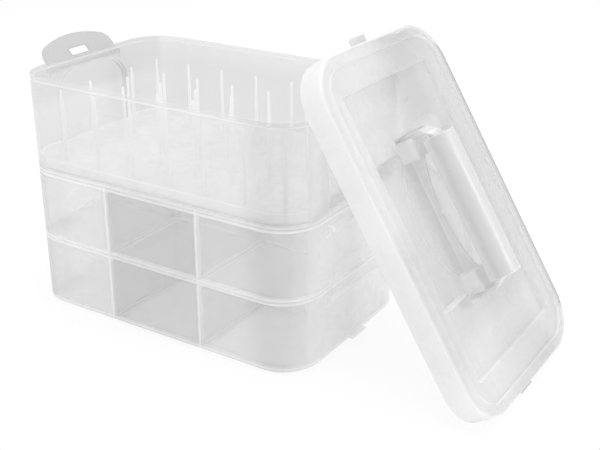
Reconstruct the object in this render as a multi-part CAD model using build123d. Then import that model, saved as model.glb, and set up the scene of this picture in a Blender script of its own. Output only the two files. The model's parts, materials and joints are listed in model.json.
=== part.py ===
from build123d import *
from math import cos, hypot, radians, sin
import os

# Stacking sewing box in translucent polypropylene: three trays that stack and latch
# together, a rack of thread pins in the top tray, and a lid with a folding carry handle.
# Millimetres, +Z up. The origin is the middle of the bottom tray's underside, +X runs
# along the box and -Y is its near long side. The lid stands on the ground beside the
# +X end and leans on that end's open latch.

# ---- trays -------------------------------------------------------------------------
box_length = 260.0
box_width = 165.6
corner_radius = 31.0
wall = 1.8
floor_thickness = 1.8
tray_pitch = 56.0          # from one tray's underside to the next one's
top_tray_height = 76.6     # from its shoulder to its rim
foot_drop = 2.2            # how far a foot sinks into the tray below
foot_fit = 0.4             # gap between a foot and the rim round it
foot_edge_radius = 1.4
floor_edge_radius = 1.6
rim_edge_radius = 0.5
end_corner_gap = 11.8      # from the rounded corners to a latch or finger recess

# ---- dividers of the two lower trays -----------------------------------------------
divider_thickness = 1.4
divider_gap_below_rim = 3.0
divider_corner_radius = 5.0
divider_fit = 0.1          # on each side, between a divider and its guide ribs
divider_end_gap = 0.2      # between a divider's end and the wall it reaches
guide_thickness = 0.8
guide_depth = 1.5
cross_rows = 2             # cross dividers on each side of the long divider

# ---- finger recess in each end wall of the top tray --------------------------------
recess_depth = 4.0
recess_corner_radius = 22.0
recess_gap_below_latch = 2.6

# ---- thread rack -------------------------------------------------------------------
rack_fit = 0.5
rack_plate = 2.2
rack_rim_height = 9.2
rack_rim_thickness = 1.6
rack_edge_radius = 2.2
pin_height = 57.3
pin_base_radius = 1.7
pin_tip_radius = 0.9
pin_spigot_radius = 1.25
pin_spigot_fit = 0.05
pin_pitch_x = 35.0
middle_row_pins = 6
outer_row_pins = 7
inner_row_y = 25.0
outer_row_y = 58.0

# ---- latches -----------------------------------------------------------------------
tab_height = 25.8
tab_thickness = 1.8
tab_crown_radius = 96.0    # of its bowed top edge
tab_corner_radius = 12.0
tab_edge_radius = 0.5
slot_half_width = 10.5
slot_bottom = 7.0
slot_height = 6.5
slot_corner_radius = 1.5
hinge_below_rim = 8.0
hinge_rod_radius = 1.3
hinge_fit = 0.05           # radial play of a barrel on its rod
barrel_wall = 1.15
barrel_end_gap = 0.3
lug_width = 2.4
lug_drop = 5.0             # how far a lug's foot runs down the wall below its rod
tab_to_lid_gap = 0.2
left_latch_angle = 38.0    # from upright, folded outwards
right_latch_angle = 78.0

# ---- latch pegs --------------------------------------------------------------------
peg_half_width = 9.0
peg_low = 0.3              # above the shoulder that the peg's piece stands on
peg_height = 2.9
peg_past_hinge = 1.7       # how far an engaged peg reaches beyond the hinge axis
peg_free_length = 6.0      # of the bottom tray's pegs and the lid's, which nothing holds here
peg_chamfer = 1.6
peg_edge_radius = 0.4

# ---- lid, in its own frame: a along it, b across it, n outwards from its rim ---------
lid_fit = 0.4
skirt = 1.6
lid_height = 18.6
lid_edge_radius = 4.0
lid_sheet = 1.6
lid_seat = 5.0             # depth of the skirt below the ledge that sits on a rim
seat_ledge = 1.6
border_width = 9.3
border_step = 2.1
border_edge_radius = 1.5
well_half_length = 104.0
well_half_width = 63.0
well_depth = 4.5
grip_recess_half_width = 60.0
grip_recess_depth = 13.0
niche_half_width = 22.0    # room for an arm of the folded handle
niche_gap = 1.0            # past the outer face of an arm
lid_lean = 58.29           # from the ground
lean_gap = 0.25            # between the leaning lid and the latch tip

# ---- carry handle ------------------------------------------------------------------
pivot_height = 8.0         # above the grip recess's floor
pivot_block_length = 15.0
pivot_block_overhang = 5.0 # how far a pivot block reaches past the grip's end
pivot_block_half_width = 11.0
pivot_block_above = 5.5    # above the pivot axis
pivot_block_radius = 4.0
stub_radius = 2.5
stub_length = 11.4
stub_fit = 0.05
stub_end_gap = 0.6
arm_gap = 0.4
arm_thickness = 2.4
arm_half_width = 7.0       # and the radius of its round end about the pivot axis
arm_clearance = 0.5        # between the leaning arms and the pivot blocks as they turn
arm_lean_height = 10.0     # over which an arm leans in from its block to the grip's end
grip_half_length = 53.5
grip_end_gap = 0.5         # between the folded grip and the end of its recess
grip_radius = 12.0
grip_reach = 31.9          # from the pivot axis to the top of the grip
grip_side = 5.4            # straight sides below the half-round top
grip_wall = 1.8
rib_thickness = 1.6
rib_end_height = 12.5
rib_middle_height = 4.5
dish_rib_thickness = 1.4
dish_rib_height = 1.2
dish_rib_bulge = 29.0

# ---- worked out ---------------------------------------------------------------------
half_length = box_length / 2
half_width = box_width / 2
tab_half_width = half_width - corner_radius - end_corner_gap
recess_half_width = tab_half_width
foot_inset = wall + foot_fit
foot_wall_inset = foot_inset + wall
inner_shoulder = foot_drop + wall
latch_x = half_length + lid_fit + skirt + tab_to_lid_gap + tab_thickness / 2
barrel_radius = hinge_rod_radius + hinge_fit + barrel_wall
lower_rim = tray_pitch + foot_drop
tray_bases = [0.0, tray_pitch, 2 * tray_pitch]
tray_rims = [lower_rim, tray_pitch + lower_rim, 2 * tray_pitch + foot_drop + top_tray_height]
latch_heights = [rim - hinge_below_rim for rim in tray_rims]
cross_pitch = box_length / (cross_rows + 1)
recess_face = half_length - recess_depth
recess_inner_face = recess_face - wall
rack_base = tray_bases[2] + inner_shoulder
lid_half_length = half_length + lid_fit + skirt
lid_half_width = half_width + lid_fit + skirt
lid_radius = corner_radius + lid_fit + skirt
plateau = lid_height - border_step
well_floor = plateau - well_depth
well_underside = well_floor - lid_sheet
recess_floor = plateau - grip_recess_depth
pivot_n = recess_floor + pivot_height
grip_recess_half_length = grip_half_length + grip_end_gap
pivot_block_outer = grip_half_length + pivot_block_overhang
pivot_block_inner = pivot_block_outer - pivot_block_length
arm_inner_face = pivot_block_outer + arm_gap
arm_outer_face = arm_inner_face + arm_thickness


def rounded_block(half_x, half_y, radius, bottom, top):
    """Upright block with rounded corners, centred on the Z axis."""
    outline = RectangleRounded(2 * half_x, 2 * half_y, radius)
    return Pos(0, 0, bottom) * extrude(outline, amount=top - bottom)


def inset_block(inset, bottom, top):
    """Block inside the tray's outline, by the same inset all round."""
    radius = corner_radius - inset
    return rounded_block(half_length - inset, half_width - inset, radius, bottom, top)


def level_edges(part, height):
    """Edges that lie in the level plane at the given height."""
    return part.edges().filter_by_position(Axis.Z, height - 0.01, height + 0.01)


def side_plate(points, thickness):
    """Plate from an outline in X and Z, centred on Y = 0."""
    outline = Plane.XZ * make_face(Polyline(*points, close=True))
    return extrude(outline, amount=thickness / 2, both=True)


# ---- trays --------------------------------------------------------------------------
def tray_envelope(base, rim):
    """Outer shape of a tray, filled, with a foot that drops into the rim below."""
    shoulder = base + foot_drop
    foot = inset_block(foot_inset, base, shoulder + wall / 2)
    foot = fillet(level_edges(foot, base), foot_edge_radius)
    return foot + inset_block(0, shoulder, rim)


def tray_shell(base, rim):
    """Open tray: floor, stepped foot and plain walls."""
    body = tray_envelope(base, rim)
    well = inset_block(foot_wall_inset, base + floor_thickness, base + inner_shoulder + 1)
    well = fillet(level_edges(well, base + floor_thickness), floor_edge_radius)
    body -= well
    body -= inset_block(wall, base + inner_shoulder, rim + 1)
    return fillet(level_edges(body, rim), rim_edge_radius)


def peg(root_x, tip_x, shoulder):
    """Catch on an end wall for the latch below; its underside leads the tab over it."""
    low = shoulder + peg_low
    high = low + peg_height
    points = [(root_x, low), (tip_x - peg_chamfer, low), (tip_x, low + peg_chamfer), (tip_x, high),
              (root_x, high)]
    body = side_plate(points, 2 * peg_half_width)
    tip_edges = body.edges().filter_by(Axis.Y).group_by(Axis.X)[-1].group_by(Axis.Z)[-1]
    return fillet(tip_edges, peg_edge_radius)


def latch_lug(y, height):
    """Ear on the end wall that carries one end of a hinge rod."""
    foot_run = latch_x - half_length
    points = [(half_length - wall / 2, height + barrel_radius), (latch_x, height + barrel_radius),
              (latch_x, height - barrel_radius), (half_length - wall / 2, height - foot_run - lug_drop)]
    ear = Pos(0, y, 0) * side_plate(points, lug_width)
    nose = Pos(latch_x, y, height) * Rot(90, 0, 0) * Cylinder(barrel_radius, lug_width)
    return ear + nose


def latch_mount(height):
    """Hinge rod between two ears, at the +X end."""
    lug_y = tab_half_width + barrel_end_gap + lug_width / 2
    rod_length = 2 * lug_y
    rod = Pos(latch_x, 0, height) * Rot(90, 0, 0) * Cylinder(hinge_rod_radius, rod_length)
    return rod + latch_lug(lug_y, height) + latch_lug(-lug_y, height)


def both_ends(part):
    """The same feature at the +X end and the -X end."""
    return part + Rot(0, 0, 180) * part


def guide_pair(bottom, top):
    """Two ribs either side of X = 0 that grow from Y = 0 towards +Y."""
    offset_x = divider_thickness / 2 + divider_fit + guide_thickness / 2
    rib = Pos(0, guide_depth / 2, (bottom + top) / 2) * Box(guide_thickness, guide_depth, top - bottom)
    return Pos(offset_x, 0, 0) * rib + Pos(-offset_x, 0, 0) * rib


def cross_positions():
    """Places of the cross dividers along the box."""
    return [(i - (cross_rows - 1) / 2) * cross_pitch for i in range(cross_rows)]


def divider_top(base):
    """Height of the dividers' top edge in the tray that starts at base."""
    return base + lower_rim - divider_gap_below_rim


def wall_guides(base):
    """Guide ribs for the dividers on the tray's four walls."""
    bottom = base + inner_shoulder
    top = divider_top(base)
    pair = guide_pair(bottom, top)
    ribs = Pos(half_length - wall, 0, 0) * Rot(0, 0, 90) * pair
    ribs += Pos(wall - half_length, 0, 0) * Rot(0, 0, -90) * pair
    for x in cross_positions():
        ribs += Pos(x, wall - half_width, 0) * pair
        ribs += Pos(x, half_width - wall, 0) * Rot(0, 0, 180) * pair
    return ribs


def compartment_tray(base, peg_tip):
    """Lower tray with divider guides, its latch hinges and the pegs for the latch below."""
    rim = base + lower_rim
    body = tray_shell(base, rim) + wall_guides(base)
    ends = peg(half_length - wall / 2, peg_tip, base + foot_drop)
    ends += latch_mount(rim - hinge_below_rim)
    return body + both_ends(ends)


def recess_outline(margin, bottom, top):
    """Arched face of the finger recess, grown by a margin at its sides and top."""
    half = recess_half_width + margin
    radius = recess_corner_radius + margin
    high = top + margin
    path = Polyline((-half, high - radius), (-half, bottom), (half, bottom), (half, high - radius))
    diagonal = radius * (1 - cos(radians(45)))
    right = ThreePointArc((half, high - radius), (half - diagonal, high - diagonal), (half - radius, high))
    left = ThreePointArc((radius - half, high), (diagonal - half, high - diagonal), (-half, high - radius))
    crown = Line((half - radius, high), (radius - half, high))
    return make_face(path + right + crown + left)


def recess_block(margin, bottom, top, inner, outer):
    """The recess outline as a block between two X planes."""
    outline = Plane.YZ * recess_outline(margin, bottom, top)
    return Pos(inner, 0, 0) * extrude(outline, amount=outer - inner)


def top_tray():
    """Tall tray with finger recesses, latch hinges for the lid and pegs."""
    base, rim = tray_bases[2], tray_rims[2]
    hinge = latch_heights[2]
    top = hinge - recess_gap_below_latch
    pad = recess_block(wall, base + floor_thickness / 2, top, recess_inner_face, half_length - wall / 2)
    pads = both_ends(pad) & tray_envelope(base, rim)
    hollow = recess_block(0, base + inner_shoulder, top, recess_face, latch_x)
    ends = peg(recess_face - wall / 2, latch_x + peg_past_hinge, base + foot_drop)
    ends += latch_mount(hinge)
    return (tray_shell(base, rim) + pads) - both_ends(hollow) + both_ends(ends)


# ---- dividers -----------------------------------------------------------------------
def divider_profile(reach, foot_reach, base):
    """Half of a divider from its middle outwards: stepped over the foot, rounded at the top."""
    low = base + floor_thickness
    step = base + inner_shoulder
    high = divider_top(base)
    corner = divider_corner_radius
    bevel = floor_edge_radius
    points = [(0, high), (0, low), (foot_reach - bevel, low), (foot_reach, low + bevel),
              (foot_reach, step), (reach, step), (reach, high - corner)]
    diagonal = corner * (1 - cos(radians(45)))
    arc = ThreePointArc((reach, high - corner), (reach - diagonal, high - diagonal), (reach - corner, high))
    return Polyline(*points) + arc + Line((reach - corner, high), (0, high))


def half_divider(reach, foot_reach, base):
    """Plate of that profile along +X."""
    outline = Plane.XZ * make_face(divider_profile(reach, foot_reach, base))
    return extrude(outline, amount=divider_thickness / 2, both=True)


def long_divider(base):
    """Full-length divider, with guide ribs on both faces for the cross dividers."""
    reach = half_length - wall - divider_end_gap
    foot_reach = half_length - foot_wall_inset - divider_end_gap
    half = half_divider(reach, foot_reach, base)
    body = half + Rot(0, 0, 180) * half
    pair = Pos(0, divider_thickness / 2, 0) * guide_pair(base + floor_thickness, divider_top(base))
    for x in cross_positions():
        body += Pos(x, 0, 0) * pair
        body += Pos(x, 0, 0) * Rot(0, 0, 180) * pair
    return body


def cross_divider(base, x, side):
    """Divider from the long divider to a side wall; side is -1 for the near wall."""
    start = divider_thickness / 2 + divider_end_gap
    reach = half_width - wall - divider_end_gap
    foot_reach = half_width - foot_wall_inset - divider_end_gap
    plate = half_divider(reach, foot_reach, base)
    plate -= Pos(start / 2, 0, base + lower_rim / 2) * Box(start, wall + divider_thickness, lower_rim)
    return Pos(x, 0, 0) * Rot(0, 0, 90 * side) * plate


# ---- thread rack and its pins --------------------------------------------------------
def rack_outline():
    """Plan of the rack, notched for the finger recesses."""
    inset = wall + rack_fit
    plan = RectangleRounded(box_length - 2 * inset, box_width - 2 * inset, corner_radius - inset)
    edge = recess_inner_face - rack_fit
    notch_half = recess_half_width + wall + rack_fit
    notch = Rectangle(2 * recess_depth, 2 * notch_half)
    return plan - Pos(edge + recess_depth, 0) * notch - Pos(-edge - recess_depth, 0) * notch


def pin_places():
    """Centres of the pins: a middle row, and two rows on each side of it."""
    places = []
    for count, rows in ((middle_row_pins, [0.0]), (outer_row_pins, [inner_row_y, outer_row_y])):
        for row in rows:
            for side in sorted({row, -row}):
                for i in range(count):
                    places.append(((i - (count - 1) / 2) * pin_pitch_x, side))
    return places


def thread_rack():
    """Flat tray with a low rim that lifts out of the top tray."""
    plan = rack_outline()
    body = Pos(0, 0, rack_base) * extrude(plan, amount=rack_rim_height)
    inside = offset(plan, amount=-rack_rim_thickness, kind=Kind.INTERSECTION)
    hollow = Pos(0, 0, rack_base + rack_plate) * extrude(inside, amount=rack_rim_height)
    body -= fillet(level_edges(hollow, rack_base + rack_plate), rack_edge_radius)
    hole = Cylinder(pin_spigot_radius + pin_spigot_fit, 3 * rack_plate)
    return body - [Pos(x, y, rack_base) * hole for x, y in pin_places()]


def spool_pin():
    """Tapered pin with a domed tip and a spigot that is pushed into the rack."""
    spigot = Pos(0, 0, -rack_plate / 2) * Cylinder(pin_spigot_radius, rack_plate)
    shaft_height = pin_height - pin_tip_radius
    shaft = Pos(0, 0, shaft_height / 2) * Cone(pin_base_radius, pin_tip_radius, shaft_height)
    return spigot + shaft + Pos(0, 0, shaft_height) * Sphere(pin_tip_radius)


def spool_pins():
    """All the pins, each a separate solid."""
    pin = spool_pin()
    return Compound(children=[Pos(x, y, rack_base + rack_plate) * pin for x, y in pin_places()])


# ---- latches -------------------------------------------------------------------------
def tab_outline():
    """Face of a latch tab: straight sides, rounded corners and a crowned top."""
    sides = Pos(0, tab_height / 2) * Rectangle(2 * tab_half_width, tab_height)
    crown = Pos(0, tab_height - tab_crown_radius) * Circle(tab_crown_radius)
    face = sides & crown
    return fillet(face.vertices().group_by(Axis.Y)[-1], tab_corner_radius)


def latch():
    """Latch tab standing upright on its hinge axis, which is the Y axis; +X is outwards."""
    tab = extrude(Plane.YZ * tab_outline(), amount=tab_thickness / 2, both=True)
    top_edges = tab.edges().filter_by(Axis.Y, reverse=True).filter_by(Axis.X, reverse=True)
    tab = fillet(top_edges, tab_edge_radius)
    slot_plan = RectangleRounded(2 * slot_half_width, slot_height, slot_corner_radius)
    slot = extrude(Plane.YZ * Pos(0, slot_bottom + slot_height / 2) * slot_plan, amount=wall, both=True)
    barrel = Rot(90, 0, 0) * Cylinder(barrel_radius, 2 * tab_half_width)
    bore = Rot(90, 0, 0) * Cylinder(hinge_rod_radius + hinge_fit, 3 * tab_half_width)
    return tab - slot + barrel - bore


def placed_latch(level, side, angle):
    """Latch on a tray at an end, folded outwards by an angle; side is 1 or -1."""
    seat = Pos(latch_x, 0, latch_heights[level]) * Rot(0, angle, 0) * latch()
    return seat if side > 0 else Rot(0, 0, 180) * seat


# ---- lid -----------------------------------------------------------------------------
def lid_block(inset, low, high):
    """Block inside the lid's outline, by the same inset all round."""
    return rounded_block(lid_half_length - inset, lid_half_width - inset, lid_radius - inset, low, high)


def floor_box(half_a, half_b, low, high):
    """Box centred on the lid's middle."""
    return Pos(0, 0, (low + high) / 2) * Box(2 * half_a, 2 * half_b, high - low)


def lid_shell():
    """Skirt, raised border and the plateau inside it."""
    body = lid_block(0, 0, lid_height)
    body = fillet(level_edges(body, lid_height), lid_edge_radius)
    sunk = lid_block(border_width, plateau, lid_height + 1)
    body -= sunk
    body -= lid_block(skirt, -1, lid_seat)
    body -= lid_block(skirt + seat_ledge, 0, plateau - lid_sheet)
    groove = lid_block(skirt + seat_ledge, plateau - lid_sheet - 1, lid_height - lid_sheet)
    groove -= lid_block(border_width - lid_sheet, 0, lid_height)
    return body - groove


def grip_recess(grow, low, high):
    """The recess under the handle, with a niche at each end round the pivot block."""
    main = floor_box(grip_recess_half_length + grow, grip_recess_half_width + grow, low, high)
    niche_half_length = arm_outer_face + niche_gap
    return main + floor_box(niche_half_length + grow, niche_half_width + grow, low, high)


def pivot_block():
    """Block at the +a end of the grip recess, with a blind bore for the handle's stub."""
    top = pivot_n + pivot_block_above
    low = recess_floor - lid_sheet / 2
    middle = pivot_block_outer - pivot_block_length / 2
    block = Pos(middle, 0, (low + top) / 2) * Box(pivot_block_length, 2 * pivot_block_half_width, top - low)
    block = fillet(level_edges(block, top).filter_by(Axis.X), pivot_block_radius)
    depth = arm_gap + stub_length + stub_end_gap
    bore = Pos(pivot_block_outer, 0, pivot_n) * Rot(0, 90, 0) * Cylinder(stub_radius + stub_fit, 2 * depth)
    return block - bore


def recess_ribs():
    """Middle rib with a hollowed top edge, and two low ribs that bow outwards from it."""
    end = pivot_block_inner + rib_thickness
    low = recess_floor - lid_sheet / 2
    crest = ThreePointArc((end, recess_floor + rib_end_height), (0, recess_floor + rib_middle_height),
                          (-end, recess_floor + rib_end_height))
    sides = Polyline((-end, recess_floor + rib_end_height), (-end, low), (end, low),
                     (end, recess_floor + rib_end_height))
    ribs = extrude(Plane.XZ * make_face(sides + crest), amount=rib_thickness / 2, both=True)
    reach = pivot_block_inner + 1
    for side in (1, -1):
        path = ThreePointArc((reach, side * (pivot_block_half_width - 2)), (0, side * dish_rib_bulge),
                             (-reach, side * (pivot_block_half_width - 2)))
        strip = trace(path, line_width=dish_rib_thickness)
        ribs += Pos(0, 0, low) * extrude(strip, amount=recess_floor + dish_rib_height - low)
    return ribs


def lid_local():
    """The lid in its own frame, rim downwards on n = 0."""
    body = lid_shell()
    body += floor_box(well_half_length + lid_sheet, well_half_width + lid_sheet, well_underside, plateau)
    body += grip_recess(lid_sheet, recess_floor - lid_sheet, well_floor)
    body -= floor_box(well_half_length, well_half_width, well_floor, lid_height)
    body -= grip_recess(0, recess_floor, lid_height)
    body += both_ends(pivot_block()) + recess_ribs()
    pegs = peg(lid_half_length - skirt / 2, lid_half_length + peg_free_length, lid_seat)
    return body + both_ends(pegs)


def lid_plane():
    """Where the lid's frame stands: on the ground, leaning on the right-hand latch."""
    lean = radians(lid_lean)
    peg_tip = lid_half_length + peg_free_length
    low_points = [(lid_half_length, 0.0), (peg_tip - peg_chamfer, lid_seat + peg_low),
                  (peg_tip, lid_seat + peg_low + peg_chamfer)]
    centre_z = max(a * sin(lean) - n * cos(lean) for a, n in low_points)
    turn = radians(right_latch_angle) + radians(90 - lid_lean)
    tip_n = tab_height * sin(turn) - tab_thickness / 2 * cos(turn)
    hinge_n = well_underside - lean_gap - tip_n
    centre_x = latch_x - (hinge_n - (latch_heights[2] - centre_z) * cos(lean)) / sin(lean)
    return Plane(origin=(centre_x, 0, centre_z), x_dir=(-cos(lean), 0, sin(lean)),
                 z_dir=(sin(lean), 0, cos(lean)))


# ---- carry handle --------------------------------------------------------------------
def lean_start():
    """Height above the pivot axis where the arms may lean in over the pivot blocks."""
    corner = hypot(pivot_block_half_width - pivot_block_radius, pivot_block_above - pivot_block_radius)
    return corner + pivot_block_radius + arm_clearance


def grip_block(radius, half_length, low):
    """Half-round topped block along the grip's axis, with straight sides down to low."""
    dome = Circle(radius) & Pos(0, radius / 2) * Rectangle(2 * radius, radius)
    sides = Pos(0, low / 2) * Rectangle(2 * radius, -low)
    return extrude(Plane.YZ * (dome + sides), amount=half_length, both=True)


def handle_arm():
    """Arm at +a: a round eye outside its pivot block, a strap up to the grip, and the stub."""
    bend = pivot_n + lean_start()
    joined = bend + arm_lean_height
    end_wall = grip_half_length - grip_wall
    strap = [(arm_inner_face, pivot_n), (arm_outer_face, pivot_n), (arm_outer_face, bend + arm_thickness / 3),
             (grip_half_length, joined + arm_thickness / 3), (end_wall, joined), (arm_inner_face, bend)]
    body = side_plate(strap, 2 * arm_half_width)
    eye = Rot(0, 90, 0) * Cylinder(arm_half_width, arm_thickness)
    body += Pos(arm_inner_face + arm_thickness / 2, 0, pivot_n) * eye
    root = arm_thickness / 2
    stub = Rot(0, 90, 0) * Cylinder(stub_radius, stub_length + root)
    return body + Pos(arm_inner_face - (stub_length - root) / 2, 0, pivot_n) * stub


def handle_local():
    """The handle upright in the lid's frame: a channel grip between two arms."""
    axis_n = pivot_n + grip_reach - grip_radius
    grip = grip_block(grip_radius, grip_half_length, -grip_side)
    grip -= grip_block(grip_radius - grip_wall, grip_half_length - grip_wall, -2 * grip_side)
    return Pos(0, 0, axis_n) * grip + both_ends(handle_arm())


# ---- output --------------------------------------------------------------------------
def all_nodes():
    """Every sub-part by the name of its file."""
    nodes = {}
    names = ("bottom", "middle", "top")
    nodes["bottom_tray"] = compartment_tray(tray_bases[0], half_length + peg_free_length)
    nodes["middle_tray"] = compartment_tray(tray_bases[1], latch_x + peg_past_hinge)
    nodes["top_tray"] = top_tray()
    for name, base in zip(names[:2], tray_bases):
        nodes[name + "_long_divider"] = long_divider(base)
        for side, side_name in ((-1, "near"), (1, "far")):
            for i, x in enumerate(cross_positions(), start=1):
                nodes[f"{name}_{side_name}_divider_{i}"] = cross_divider(base, x, side)
    nodes["thread_rack"] = thread_rack()
    nodes["spool_pins"] = spool_pins()
    for level, name in enumerate(names):
        left = left_latch_angle if name == "top" else 0
        right = right_latch_angle if name == "top" else 0
        nodes[f"{name}_latch_left"] = placed_latch(level, -1, left)
        nodes[f"{name}_latch_right"] = placed_latch(level, 1, right)
    stand = lid_plane()
    nodes["lid"] = stand * lid_local()
    nodes["carry_handle"] = stand * handle_local()
    return nodes


os.makedirs("parts", exist_ok=True)
for node_name, solid in all_nodes().items():
    export_step(solid, f"parts/{node_name}.step")
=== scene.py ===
"""Looks for the stacking sewing box: frosted polypropylene trays, rack, pins, lid and handle.

Metres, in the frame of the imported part; names in capitals that hold places or widths on the
pieces are in millimetres. The box stands on the floor with its lid leaning on the open latch
of its +X end.
"""
import json
import math

import bpy
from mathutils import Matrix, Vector


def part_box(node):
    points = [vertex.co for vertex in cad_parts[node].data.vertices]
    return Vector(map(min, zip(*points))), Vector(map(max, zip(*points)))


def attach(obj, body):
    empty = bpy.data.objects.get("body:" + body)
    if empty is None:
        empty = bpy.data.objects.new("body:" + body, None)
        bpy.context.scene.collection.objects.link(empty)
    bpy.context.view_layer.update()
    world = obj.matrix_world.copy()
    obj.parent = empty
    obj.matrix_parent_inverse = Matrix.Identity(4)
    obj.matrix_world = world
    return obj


MM = 0.001

# Camera: where it stands, which way it looks and how much it takes in.
CAMERA_PLACE = (0.47405, -0.61657, 0.39793)
CAMERA_HEADING = 122.57      # degrees from +X, seen from above
CAMERA_DIP = 23.34           # degrees below the horizon
CAMERA_LENS = 61.84          # mm
CAMERA_SENSOR = 36.0         # mm
CAMERA_CLIP = (0.05, 20.0)   # m, nearest and farthest that it shows

# Studio: a white floor and sky, and three softboxes.
WHITE = (1, 1, 1, 1)
FLOOR_SIZE = 8.0             # m
FLOOR_BELOW = 0.2            # mm under the box's foot, so that the two never share a plane
FLOOR_PAPER = "F4F4F4"
FLOOR_GLOW = 0.8             # share of the floor's white that no shadow takes away
SKY = 0.88                   # strength of the even light from all round
SEEN_THROUGH = 0.81          # how bright the studio looks through a hazy sheet
SEEN_IN_GLOSS = 0.93         # how bright it looks in the plastic's gloss and inside its sheet
SHEETS_DEEP = 48             # how many sheets one line of sight may pass through

# Polypropylene: how light bends into it, and what the mould leaves on it.
PLASTIC_IOR = 1.49
FLOW_MARK = 40.0             # mm between the faint clouds in the sheet
POLISH_PATCH = 14.0          # mm between patches of its gloss, as the mould's grain is too fine
POLISH_SPREAD = (0.3, 0.7)   # the part of the patches' range that is used
SHINIER = 0.04               # how far the shiny patches go below the plastic's roughness
DULLER = 0.05                # how far the dull ones go above it
SINK_MARK_DEPTH = 0.5        # mm of waviness where the sheet shrank as it set
SINK_MARK_SHARE = 0.08       # how much of that waviness shows
EDGE_TURN = (0.995, 0.80)    # cosine of an edge's turn where its glow starts and where it is full
STEP_TURN = (0.98, 0.6)      # the same for the lid's steps, away from its sheet
TURNED_BLEND = 0.35          # how early a sheet seen aslant looks milkier

# Sizes of the pieces that the looks follow.
DIVIDER_PLACE = 130 / 3      # a cross divider's distance from the middle of its tray
PIVOT_ABOVE_RIM = 11.5       # the handle's axis above the plane of the lid's rim
BLOCK_PLACE = 51.0           # middle of a pivot block, along the lid from the middle
ARM_PLACE = 60.1             # middle of a handle arm, along the lid from the middle
RACK_RIM = 6.4               # height of the rack's low rim that glows
TAB_FACE = 0.9               # from the middle of a latch tab to its face


# ---- the leaning lid's own directions --------------------------------------------------
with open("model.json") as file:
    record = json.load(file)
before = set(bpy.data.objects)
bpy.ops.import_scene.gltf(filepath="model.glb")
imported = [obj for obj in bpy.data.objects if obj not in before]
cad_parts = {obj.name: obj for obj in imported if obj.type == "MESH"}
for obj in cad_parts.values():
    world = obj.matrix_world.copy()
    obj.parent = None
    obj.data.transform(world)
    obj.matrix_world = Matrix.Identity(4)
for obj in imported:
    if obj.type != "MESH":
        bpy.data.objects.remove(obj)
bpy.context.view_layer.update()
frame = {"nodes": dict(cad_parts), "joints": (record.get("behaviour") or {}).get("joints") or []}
bpy.ops.object.select_all(action="DESELECT")
joints = {joint["name"]: joint for joint in frame["joints"]}
LID_UP = Vector(joints["handle_swing"]["axis"]).normalized()
LID_OUT = Vector(joints["lid_lift"]["axis"]).normalized()
PIVOT = Vector(joints["handle_swing"]["pos_m"])


# ---- nodes ---------------------------------------------------------------------------
def linear(hex_colour):
    """An sRGB hex colour as linear RGBA."""
    channels = [int(hex_colour[i:i + 2], 16) / 255 for i in (0, 2, 4)]
    return tuple(c / 12.92 if c <= 0.04045 else ((c + 0.055) / 1.055) ** 2.4
                 for c in channels) + (1.0,)


def add_node(tree, kind, settings=None, inputs=None):
    """Adds one node with its settings; an input is a plain value or another node's socket."""
    node = tree.nodes.new(kind)
    for name, value in (settings or {}).items():
        setattr(node, name, value)
    for name, value in (inputs or {}).items():
        socket = node.inputs[name]
        if isinstance(value, bpy.types.NodeSocket):
            tree.links.new(value, socket)
        else:
            socket.default_value = value
    return node


def new_material(name):
    """An empty node material and its tree."""
    material = bpy.data.materials.new(name)
    material.use_nodes = True
    material.node_tree.nodes.clear()
    return material, material.node_tree


def maths(tree, operation, first, second):
    """The result of one sum on two sockets or plain numbers."""
    return add_node(tree, "ShaderNodeMath", {"operation": operation}, {
        0: first, 1: second}).outputs[0]


def size_of(tree, value):
    """A socket without its sign."""
    return add_node(tree, "ShaderNodeMath", {"operation": "ABSOLUTE"}, {0: value}).outputs[0]


def ramp(tree, value, start, end, low, high):
    """A value turned from one range to another, and held at its ends."""
    return add_node(tree, "ShaderNodeMapRange", inputs={
        "Value": value, "From Min": start, "From Max": end,
        "To Min": low, "To Max": high}).outputs["Result"]


def tinted(tree, colour, share, hex_colour):
    """A colour drawn towards a plain one by a share."""
    return add_node(tree, "ShaderNodeMix", {"data_type": "RGBA"}, {
        "Factor": share, 6: colour, 7: linear(hex_colour)}).outputs[2]


def larger(tree, sockets):
    """The largest of several sockets."""
    most = sockets[0]
    for socket in sockets[1:]:
        most = maths(tree, "MAXIMUM", most, socket)
    return most


# ---- places on the pieces --------------------------------------------------------------
def along(tree, place, direction, start=0.0):
    """Distance of a point along a fixed direction, from start, in metres."""
    dot = add_node(tree, "ShaderNodeVectorMath", {"operation": "DOT_PRODUCT"}, {
        0: place, 1: tuple(direction)}).outputs["Value"]
    return maths(tree, "SUBTRACT", dot, start)


def axis_values(tree, place):
    """Places along the tray's X, Y and Z, and along the lid's length A, width B and outward N."""
    rim = PIVOT.dot(LID_OUT) - PIVOT_ABOVE_RIM * MM
    across = along(tree, place, (0, 1, 0))
    return {"X": along(tree, place, (1, 0, 0)), "Y": across, "Z": along(tree, place, (0, 0, 1)),
            "A": along(tree, place, LID_UP, PIVOT.dot(LID_UP)), "B": across,
            "N": along(tree, place, LID_OUT, rim)}


def band(tree, value, centre, half_width, fade):
    """1 within half_width of a place along one axis, falling to 0 over the fade."""
    away = size_of(tree, maths(tree, "SUBTRACT", value, centre * MM))
    return ramp(tree, away, (half_width + fade) * MM, half_width * MM, 0.0, 1.0)


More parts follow.
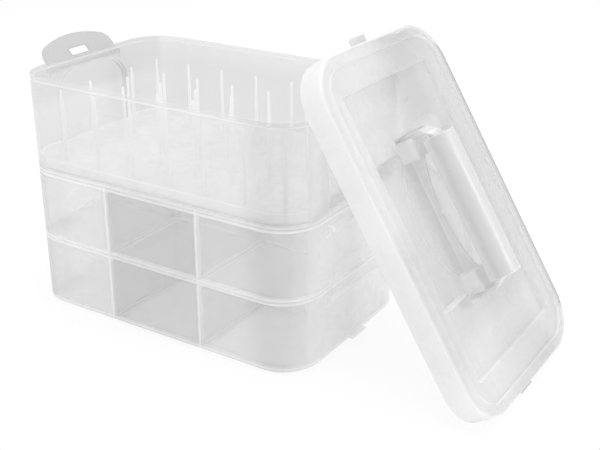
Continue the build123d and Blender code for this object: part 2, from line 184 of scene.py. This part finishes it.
def zones(tree, axes, places):
    """A mask for each place. A place is a band, or several bands that must all hold. A band is
    an axis, centre, half width, fade and strength; an axis written with | counts alike on both
    sides of the middle."""
    masks = []
    for place in places:
        mask = None
        bands = [place] if isinstance(place, tuple) else place
        for axis, centre, half_width, fade, strength in bands:
            value = axes[axis[-1]]
            if axis[0] == "|":
                value = size_of(tree, value)
            inside = maths(tree, "MULTIPLY", band(tree, value, centre, half_width, fade), strength)
            mask = maths(tree, "MULTIPLY", inside, mask) if mask else inside
        masks.append(mask)
    return masks


# ---- the plastic -----------------------------------------------------------------------
def patches(tree, place, spacing, detail, roughness):
    """Soft random patches of a given spacing."""
    return add_node(tree, "ShaderNodeTexNoise", inputs={
        "Vector": place, "Scale": 1 / (spacing * MM), "Detail": detail,
        "Roughness": roughness}).outputs["Fac"]


def painted_edge_glow(tree, look):
    """Painted glow along the edges, standing in for light that runs inside the sheet and comes out
    there.
    """
    rounded = add_node(tree, "ShaderNodeBevel", {"samples": 4}, {"Radius": look["edge_width"] * MM})
    flat = add_node(tree, "ShaderNodeNewGeometry").outputs["True Normal"]
    match = add_node(tree, "ShaderNodeVectorMath", {"operation": "DOT_PRODUCT"}, {
        0: rounded.outputs["Normal"], 1: flat}).outputs["Value"]
    return maths(tree, "MULTIPLY", ramp(tree, match, *EDGE_TURN, 0.0, 1.0), look["edge"])


def painted_step_glow(tree, strength):
    """Painted glow on the lid's upright steps, where the sheet is looked into edge on."""
    normal = add_node(tree, "ShaderNodeTexCoord").outputs["Normal"]
    level = size_of(tree, along(tree, normal, LID_OUT))
    return ramp(tree, level, *STEP_TURN, 0.0, strength)


def frosted_plastic(name, look, painted_glow=(), painted_shade=(), solid=(), lines=()):
    """Injection-moulded translucent polypropylene: a milky sheet that veils what is behind it, with
    painted glow along its edges. Glowing places get the same painted glow, places of painted shade
    are painted darker for the shade of a wall, solid ones hide more of what is behind them (less
    where their strength is below zero), and lines are painted dark where a rounded border turns
    light away."""
    material, tree = new_material(name)
    place = add_node(tree, "ShaderNodeTexCoord").outputs["Object"]
    axes = axis_values(tree, place)
    clouds = patches(tree, place, FLOW_MARK, 3.0, 0.55)
    polish = patches(tree, place, POLISH_PATCH, 1.0, 0.5)

    # Colour: milk with clouds, then painted shade, then painted glow as if lit from inside, then
    # painted dark lines.
    bright = [painted_edge_glow(tree, look)] + zones(tree, axes, painted_glow)
    if look["step_walls"]:
        bright.append(painted_step_glow(tree, look["step_walls"]))
    glow = larger(tree, bright)
    colour = tinted(tree, linear(look["face"]), clouds, look["cloud"])
    for shade in zones(tree, axes, painted_shade):
        colour = tinted(tree, colour, shade, look["painted_shade"])
    colour = tinted(tree, colour, glow, look["glow"])
    for line in zones(tree, axes, lines):
        colour = tinted(tree, colour, line, look["line"])

    # Veil: how much of what is behind the sheet is hidden, more where it is seen aslant.
    turned = add_node(tree, "ShaderNodeLayerWeight", inputs={
        "Blend": TURNED_BLEND}).outputs["Facing"]
    veil = ramp(tree, turned, 0.0, 1.0, look["veil"], look["veil_edge_on"])
    for mask in zones(tree, axes, solid):
        veil = maths(tree, "ADD", veil, mask)
    veil = add_node(tree, "ShaderNodeMath", {"operation": "MULTIPLY_ADD"}, {
        0: clouds, 1: look["cloud_veil"], 2: veil}).outputs[0]
    veil = add_node(tree, "ShaderNodeMath", {"operation": "MULTIPLY_ADD", "use_clamp": True}, {
        0: glow, 1: look["glow_veil"], 2: veil}).outputs[0]

    # Sheet: a dull gloss over the milk, and light that comes through from behind.
    rough = ramp(tree, polish, *POLISH_SPREAD, look["rough"] - SHINIER, look["rough"] + DULLER)
    waves = add_node(tree, "ShaderNodeBump", inputs={
        "Height": clouds, "Strength": SINK_MARK_SHARE,
        "Distance": SINK_MARK_DEPTH * MM}).outputs["Normal"]
    front = add_node(tree, "ShaderNodeBsdfPrincipled", inputs={
        "Base Color": colour, "Roughness": rough, "Normal": waves, "IOR": PLASTIC_IOR})
    back = add_node(tree, "ShaderNodeBsdfTranslucent", inputs={"Color": colour})
    sheet = add_node(tree, "ShaderNodeMixShader", inputs={
        0: look["glow_through"], 1: front.outputs[0], 2: back.outputs[0]})
    clear = add_node(tree, "ShaderNodeBsdfTransparent")
    mixed = add_node(tree, "ShaderNodeMixShader", inputs={
        0: veil, 1: clear.outputs[0], 2: sheet.outputs[0]})
    add_node(tree, "ShaderNodeOutputMaterial", inputs={"Surface": mixed.outputs[0]})
    return material


def dress(node_name, material):
    """Puts a material on a CAD node."""
    obj = frame["nodes"][node_name]
    if not obj.material_slots:
        obj.data.materials.append(material)
    for slot in obj.material_slots:
        slot.material = material


# ---- studio ----------------------------------------------------------------------------
def add_camera():
    """The camera that shows the box from its near right-hand corner."""
    data = bpy.data.cameras.new("camera")
    data.lens, data.sensor_width = CAMERA_LENS, CAMERA_SENSOR
    data.clip_start, data.clip_end = CAMERA_CLIP
    camera = bpy.data.objects.new("camera", data)
    bpy.context.scene.collection.objects.link(camera)
    heading, dip = math.radians(CAMERA_HEADING), math.radians(CAMERA_DIP)
    look = Vector((math.cos(dip) * math.cos(heading), math.cos(dip) * math.sin(heading),
                   -math.sin(dip)))
    camera.location = CAMERA_PLACE
    camera.rotation_euler = look.to_track_quat("-Z", "Y").to_euler()
    bpy.context.scene.camera = camera


def hazy_background(tree):
    """The kind of ray, and the white background's strength for it: full when seen directly, less
    through hazy plastic or in its gloss."""
    path = add_node(tree, "ShaderNodeLightPath")
    seen = ramp(tree, path.outputs["Transparent Depth"], 0.0, 1.0, 1.0, SEEN_THROUGH)
    strength = add_node(tree, "ShaderNodeMix", {"data_type": "FLOAT"}, {
        0: path.outputs["Is Camera Ray"], 2: SEEN_IN_GLOSS, 3: seen}).outputs[0]
    return path, strength


def add_floor():
    """Plain white floor that keeps a faint shadow; the plastic's gloss sees its lit paper."""
    bpy.ops.mesh.primitive_plane_add(size=FLOOR_SIZE, location=(0, 0, -FLOOR_BELOW * MM))
    floor = bpy.context.object
    floor.name = "studio_floor"
    material, tree = new_material("studio_floor_white")
    path, strength = hazy_background(tree)
    paper = add_node(tree, "ShaderNodeBsdfDiffuse", inputs={"Color": linear(FLOOR_PAPER)})
    glow = add_node(tree, "ShaderNodeEmission", inputs={"Color": WHITE, "Strength": strength})
    share = maths(tree, "MULTIPLY", path.outputs["Is Camera Ray"], FLOOR_GLOW)
    blend = add_node(tree, "ShaderNodeMixShader", inputs={
        0: share, 1: paper.outputs[0], 2: glow.outputs[0]})
    add_node(tree, "ShaderNodeOutputMaterial", inputs={"Surface": blend.outputs[0]})
    floor.data.materials.append(material)


def add_world():
    """White behind everything, and an even soft light from all round."""
    world = bpy.data.worlds.new("studio")
    bpy.context.scene.world = world
    world.use_nodes = True
    tree = world.node_tree
    tree.nodes.clear()
    path, strength = hazy_background(tree)
    rays = ("Is Camera Ray", "Is Glossy Ray", "Is Transmission Ray")
    shown = larger(tree, [path.outputs[ray] for ray in rays])
    seen = add_node(tree, "ShaderNodeBackground", inputs={"Color": WHITE, "Strength": strength})
    lit = add_node(tree, "ShaderNodeBackground", inputs={"Color": WHITE, "Strength": SKY})
    blend = add_node(tree, "ShaderNodeMixShader", inputs={
        0: shown, 1: lit.outputs[0], 2: seen.outputs[0]})
    add_node(tree, "ShaderNodeOutputWorld", inputs={"Surface": blend.outputs[0]})


def add_softbox(name, place, target, size, power, mirrored=True):
    """A square area light that faces a point, with or without its reflection in the plastic."""
    data = bpy.data.lights.new(name, "AREA")
    data.shape, data.size, data.energy = "SQUARE", size, power
    lamp = bpy.data.objects.new(name, data)
    bpy.context.scene.collection.objects.link(lamp)
    lamp.location = place
    lamp.visible_glossy = mirrored
    lamp.rotation_euler = (Vector(target) - Vector(place)).to_track_quat("-Z", "Y").to_euler()


bpy.context.scene.view_settings.view_transform = "Standard"
bpy.context.scene.cycles.transparent_max_bounces = SHEETS_DEEP
bpy.context.scene.cycles.denoising_input_passes = "RGB_ALBEDO"

add_camera()
add_world()
add_floor()
add_softbox("overhead_softbox", (0.05, -0.1, 1.5), (0.05, 0, 0.1), size=1.2, power=10.0)
add_softbox("right_softbox", (1.41, 0.14, 0.65), (0.23, 0, 0.13), size=0.5, power=5.0)
add_softbox("rear_softbox", (0.7, 1.2, 0.6), (0.1, 0, 0.12), size=0.9, power=5.0, mirrored=False)


# ---- looks -----------------------------------------------------------------------------
# Every piece is polypropylene, injection-moulded in a lightly textured mould. That gives the eye
# a milky, slightly uneven sheet with a soft, dull gloss. What is behind it shows pale and without
# sharp contrast, and its edges are painted the whitest part, as painted glow. Each look says:
#   face, cloud       the sheet and its faint flow clouds
#   glow, painted_shade, line   painted glow of edges and glowing places; painted shade; painted dark lines along a border
#   veil              how much it hides seen straight on, and veil_edge_on seen aslant
#   cloud_veil, glow_veil   how much more the clouds and the glowing places hide
#   edge, edge_width  strength and width (mm) of the painted bright edges
#   rough             roughness of its gloss
#   glow_through      share of its light that comes through from behind
#   step_walls        painted glow of the faces that stand up from the lid's sheet

# The tall tray's 1.8 mm walls: clear enough to read the pins and the rack through them.
WALL = {"face": "E6E6E6", "cloud": "DCDCDC", "glow": "FFFFFF", "painted_shade": "808080", "line": "606060",
        "veil": 0.15, "veil_edge_on": 0.42, "cloud_veil": 0.05, "glow_veil": 0.45,
        "edge": 0.9, "edge_width": 0.9, "rough": 0.28, "glow_through": 0.35, "step_walls": 0.0}
# The two lower trays: the same walls, painted paler as painted light, a little milkier, with
# dividers behind them.
LOWER = dict(WALL, face="FBFBFB", cloud="F2F2F2", painted_shade="B0B0B0", veil_edge_on=0.5)
# The lid: a stepped sheet seen at a slant, milkier than a wall, with painted glow on its steps.
LID = dict(WALL, face="E0E0E0", cloud="DADADA", painted_shade="A8A8A8", veil=0.28, veil_edge_on=0.5,
           glow_veil=0.4, edge=0.65, edge_width=0.7, step_walls=0.65)
# The handle: a curved channel painted greyer, as painted shade, because less light comes through
# its two sides.
GRIP = dict(WALL, face="DADADA", cloud="D4D4D4", veil=0.2, veil_edge_on=0.4, edge=0.8,
            glow_through=0.1)
# The pins and the gate's stub: solid rather than sheet, so nearly white and hardly see-through.
PIN = dict(WALL, face="FAFAFA", cloud="FAFAFA", veil=0.55, veil_edge_on=0.7, edge=0.0)
# The latch that stands open against the light: painted an even grey, as painted shade.
OPEN_TAB_SHADE = dict(WALL, face="B4B4B4", cloud="ACACAC", glow="A4A4A4", veil=0.28, veil_edge_on=0.5,
                edge=0.6)
# The latches that lie on a wall: hardly to be told from it.
SHUT_TAB = dict(WALL, face="FFFFFF", cloud="FAFAFA", veil=0.08, veil_edge_on=0.2)
# The dividers: thinner, so clearer than a wall; those towards -X get a darker colour, painted shade
# for the trays' shade.
DIVIDER = dict(WALL, face="EAEAEA", cloud="E0E0E0", painted_shade="B0B0B0", veil=0.12)
SHADED_DIVIDER = dict(WALL, face="C8C8C8", cloud="C0C0C0", veil=0.16)
# The rack: a flat plate seen from above, painted the palest sheet, as painted light from above.
RACK = dict(WALL, face="FFFFFF", cloud="F6F6F6", veil=0.14)

# Painted shade on the trays: in the compartments between the cross dividers, in the two near
# corners where the wall turns away from the light, in the top tray's far corner behind the lid, on
# the inside of the far wall above the rack and on the inside of the -X end. Painted light: on the
# +X end, lit from the right.
rack_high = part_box("thread_rack")[1].z / MM
tray_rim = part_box("top_tray")[1].z / MM
MIDDLE_ROW_SHADE = ("X", 0.0, 42.5, 1.0, 0.23)
NEAR_CORNER_SHADE = [("X", 110.0, 8.0, 22.0, 0.4), ("Y", -84.0, 8.0, 12.0, 1.0)]
LEFT_CORNER_SHADE = [("X", -128.0, 10.0, 14.0, 0.5), ("Y", -70.0, 25.0, 10.0, 1.0)]
FAR_CORNER_SHADE = [("X", 128.0, 25.0, 20.0, 0.35), ("Y", 65.0, 40.0, 20.0, 1.0),
              ("Z", tray_rim, 30.0, 15.0, 1.0)]
END_WALL_LIGHT = [("X", 133.0, 5.0, 2.0, 0.3), ("Y", -15.0, 45.0, 15.0, 1.0)]
SHADED_BACK = [("Y", 85.0, 60.0, 20.0, 1.0), ("Z", rack_high + 15.0, 28.0, 25.0, 0.3)]
SHADED_END = [("X", -124.0, 7.0, 1.5, 1.0), ("Y", 10.0, 80.0, 10.0, 0.4),
              ("Z", tray_rim - 6.0, 20.0, 8.0, 1.0)]

# Places of what the trays carry: painted glow on the rack's rim and where the dividers meet their
# tray's foot, and the barrel of the open latch, which is clearer than its tab.
RACK_RIM_GLOW = ("Z", rack_high - RACK_RIM / 2, RACK_RIM / 2, 1.5, 0.7)
FOOT_GLOW_LINES = [("Z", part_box(tray)[0].z / MM + 4.8, 0.8, 0.6, 0.8)
              for tray in ("bottom_tray", "middle_tray")]
HINGE = ("Z", joints["top_latch_left_hinge"]["pos_m"][2] / MM, 3.2, 1.5, -0.3)

# Painted glow on the lid: the thick pivot blocks, the floor beside the grip where the fingers go,
# and the
# two ends of the well. Clear ones: the bores in the blocks.
BLOCKS_GLOW = [("|A", BLOCK_PLACE, 7.7, 0.3, 0.6), ("B", 0.0, 11.3, 0.3, 1.0),
          ("N", 12.0, 6.0, 1.0, 1.0)]
FINGER_SPACE_GLOW = [("A", 4.0, 58.0, 8.0, 0.3), ("B", 16.0, 24.0, 10.0, 1.0),
                ("N", 6.0, 6.0, 2.0, 1.0)]
UPPER_END_GLOW = [("A", 95.0, 35.0, 30.0, 0.25), ("B", -24.0, 16.0, 26.0, 1.0)]
LOWER_END_GLOW = [("A", -104.0, 20.0, 16.0, 0.25), ("B", 5.0, 50.0, 20.0, 1.0)]
BORES = [("|A", BLOCK_PLACE, 7.3, 0.2, -1.0), ("|B", 0.0, 2.7, 0.2, 1.0),
         ("N", PIVOT_ABOVE_RIM, 2.7, 0.2, 1.0)]
# Painted shade on the lid: the lower half of its near side, and its sheet, more and more towards
# the far
# side. A painted dark line: where the far border's rounding bends the light away.
NEAR_LOWER_SHADE = [("A", -45.0, 35.0, 25.0, 0.3), ("B", -68.0, 36.0, 15.0, 1.0)]
FAR_SIDE_SHADE = [("B", 34.0, 8.0, 100.0, 0.8), ("B", -30.0, 70.0, 80.0, 1.0)]
BORDER_DARK_LINE = [("B", 84.4, 1.4, 1.6, 0.9), ("N", 17.0, 2.0, 1.5, 1.0)]

# Places of the handle: painted glow on the channel's lower edges and on its thick arms, painted
# shade on its side away from the light, the whole channel, which is looked through twice and so
# hides more, and its stubs, which are left clear inside the pivot blocks.
GRIP_FOOT_GLOW = ("N", 26.0, 3.0, 5.0, 0.3)
ARMS_GLOW = ("|A", ARM_PLACE, 1.6, 0.3, 0.4)
GRIP_BACK_SHADE = ("B", 7.0, 6.0, 4.0, 0.2)
GRIP_BODY = [("N", 36.0, 10.0, 1.0, 0.55), ("A", 0.0, 57.0, 1.0, 1.0)]
STUBS = [("|A", BLOCK_PLACE, 7.7, 0.2, -1.0), ("N", PIVOT_ABOVE_RIM, 3.0, 0.5, 1.0)]


def tray_glow_bands(node_name):
    """Places of a tray painted with glow: its foot's shoulder, its +X end and its rim, and in a
    lower tray the guides of its cross dividers."""
    low, high = (corner.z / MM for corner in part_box(node_name))
    bands = [("Z", low + 3.8, 0.8, 0.6, 0.8), END_WALL_LIGHT]
    if node_name == "top_tray":
        return bands + [("Z", high - 3.2, 0.4, 0.6, 0.5)]
    return bands + [("Z", high - 1.5, 0.7, 0.5, 0.8), ("|X", DIVIDER_PLACE, 0.8, 0.6, 0.9)]


for tray in ("bottom_tray", "middle_tray"):
    dress(tray, frosted_plastic(tray + "_polypropylene", LOWER, tray_glow_bands(tray),
                                painted_shade=[MIDDLE_ROW_SHADE, NEAR_CORNER_SHADE, LEFT_CORNER_SHADE]))
dress("top_tray", frosted_plastic("top_tray_polypropylene", WALL, tray_glow_bands("top_tray"),
                                  painted_shade=[NEAR_CORNER_SHADE, SHADED_BACK, SHADED_END, FAR_CORNER_SHADE]))
dress("lid", frosted_plastic("lid_polypropylene", LID,
                             [BLOCKS_GLOW, UPPER_END_GLOW, FINGER_SPACE_GLOW, LOWER_END_GLOW],
                             painted_shade=[FAR_SIDE_SHADE, NEAR_LOWER_SHADE], solid=[BORES], lines=[BORDER_DARK_LINE]))
gate_plastic = frosted_plastic("gate_stub_polypropylene", PIN)
dress("carry_handle", frosted_plastic("handle_polypropylene", GRIP, [GRIP_FOOT_GLOW, ARMS_GLOW],
                                      painted_shade=[GRIP_BACK_SHADE], solid=[GRIP_BODY, STUBS]))
dress("spool_pins", frosted_plastic("pin_polypropylene", PIN))
dress("thread_rack", frosted_plastic("rack_polypropylene", RACK, [RACK_RIM_GLOW]))
# The open latch's plastic: painted an even grey, as painted shade.
open_tab_shaded_plastic = frosted_plastic("open_latch_shaded_polypropylene", OPEN_TAB_SHADE, solid=[HINGE])
shut_tab_plastic = frosted_plastic("shut_latch_polypropylene", SHUT_TAB)
divider_plastic = frosted_plastic("divider_polypropylene", DIVIDER, FOOT_GLOW_LINES, painted_shade=[MIDDLE_ROW_SHADE])
shaded_divider_plastic = frosted_plastic("shaded_divider_polypropylene", SHADED_DIVIDER, FOOT_GLOW_LINES)


def latch_plastic(latch):
    """The plastic of a latch and of the ridge on it."""
    return open_tab_shaded_plastic if latch == "top_latch_left" else shut_tab_plastic


for node_name in frame["nodes"]:
    if "latch" in node_name:
        dress(node_name, latch_plastic(node_name))
    elif "divider" in node_name:
        middle = sum(corner.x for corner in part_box(node_name)) / 2
        stands_left = middle < -DIVIDER_PLACE / 2 * MM
        dress(node_name, shaded_divider_plastic if stands_left else divider_plastic)


# ---- small moulded details -------------------------------------------------------------
CROWN_BEVEL = 0.4            # share of a crown's inset that its edges are rounded over
SMOOTH_UP_TO = math.radians(35)      # edges flatter than this are shaded as one surface
ALIGNED = 0.9                # how closely a face looks along a direction to be taken


def select_faces(piece, direction):
    """Leaves the piece in edit mode with only the faces that look along a direction selected."""
    bpy.ops.object.mode_set(mode="EDIT")
    bpy.ops.mesh.select_mode(type="FACE")
    bpy.ops.mesh.select_all(action="DESELECT")
    bpy.ops.object.mode_set(mode="OBJECT")
    for face in piece.data.polygons:
        face.select = face.normal.dot(direction) > ALIGNED
    bpy.ops.object.mode_set(mode="EDIT")


def crowned(piece, direction, inset, rise):
    """Settles a primitive where it was placed and draws its outer face up to a soft crown."""
    bpy.ops.object.transform_apply(location=True, rotation=True, scale=True)
    select_faces(piece, direction)
    bpy.ops.mesh.inset(thickness=inset * MM)
    bpy.ops.transform.translate(value=tuple(direction * rise * MM))
    bpy.ops.mesh.bevel(offset=CROWN_BEVEL * inset * MM, segments=2, affect="EDGES")
    bpy.ops.object.mode_set(mode="OBJECT")
    bpy.ops.object.shade_smooth_by_angle(angle=SMOOTH_UP_TO)


def finished(piece, name, material, body):
    """Names a piece, gives it its plastic and lets it move with its body."""
    piece.name = piece.data.name = name
    piece.data.materials.append(material)
    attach(piece, body)


def on_lid(up, out):
    """A point over the lid's middle line: mm along it from the handle's axis, and above the rim."""
    return PIVOT + (LID_UP * up + LID_OUT * (out - PIVOT_ABOVE_RIM)) * MM


# The moulding gate's stub, on the crest of the rib that runs under the grip.
STUB_RADIUS, STUB_TALL = 1.4, 2.4
STUB_ALONG, STUB_HEIGHT = 2.0, 7.8
bpy.ops.mesh.primitive_cylinder_add(vertices=32, radius=STUB_RADIUS * MM, depth=STUB_TALL * MM,
                                    location=on_lid(STUB_ALONG, STUB_HEIGHT),
                                    rotation=LID_OUT.to_track_quat("Z", "Y").to_euler())
gate_stub = bpy.context.object
crowned(gate_stub, LID_OUT, inset=0.5, rise=0.4)
finished(gate_stub, "lid_gate_stub", gate_plastic, "lid")

# The ridge under each latch's slot, which stiffens the tab where it is pushed over the catch:
# modelled once, lying along Y on the face of a latch that stands at the middle of the floor.
RIDGE_UP, RIDGE_LENGTH, RIDGE_TALL, RIDGE_PROUD = 4.6, 23.0, 1.6, 0.7
RIDGE_SUNK = 0.1             # how far its back is sunk into the tab
ridge_middle = TAB_FACE + RIDGE_PROUD / 2 - RIDGE_SUNK
bpy.ops.mesh.primitive_cube_add(size=1.0, location=(ridge_middle * MM, 0, RIDGE_UP * MM),
                                scale=(RIDGE_PROUD * MM, RIDGE_LENGTH * MM, RIDGE_TALL * MM))
ridge = bpy.context.object
crowned(ridge, Vector((1, 0, 0)), inset=0.35, rise=0.15)
for joint in frame["joints"]:
    latch = joint["child"]
    if "latch" not in latch:
        continue
    bpy.ops.object.select_all(action="DESELECT")
    ridge.select_set(True)
    bpy.context.view_layer.objects.active = ridge
    bpy.ops.object.duplicate(linked=False)
    piece = bpy.context.object
    fold = -math.radians(joint["range_deg"][0])
    piece.rotation_euler = (0, fold, 0 if joint["pos_m"][0] > 0 else math.pi)
    piece.location = joint["pos_m"]
    bpy.ops.object.transform_apply(location=True, rotation=True, scale=True)
    finished(piece, latch + "_ridge", latch_plastic(latch), latch)
bpy.ops.object.select_all(action="DESELECT")
ridge.select_set(True)
bpy.ops.object.delete()
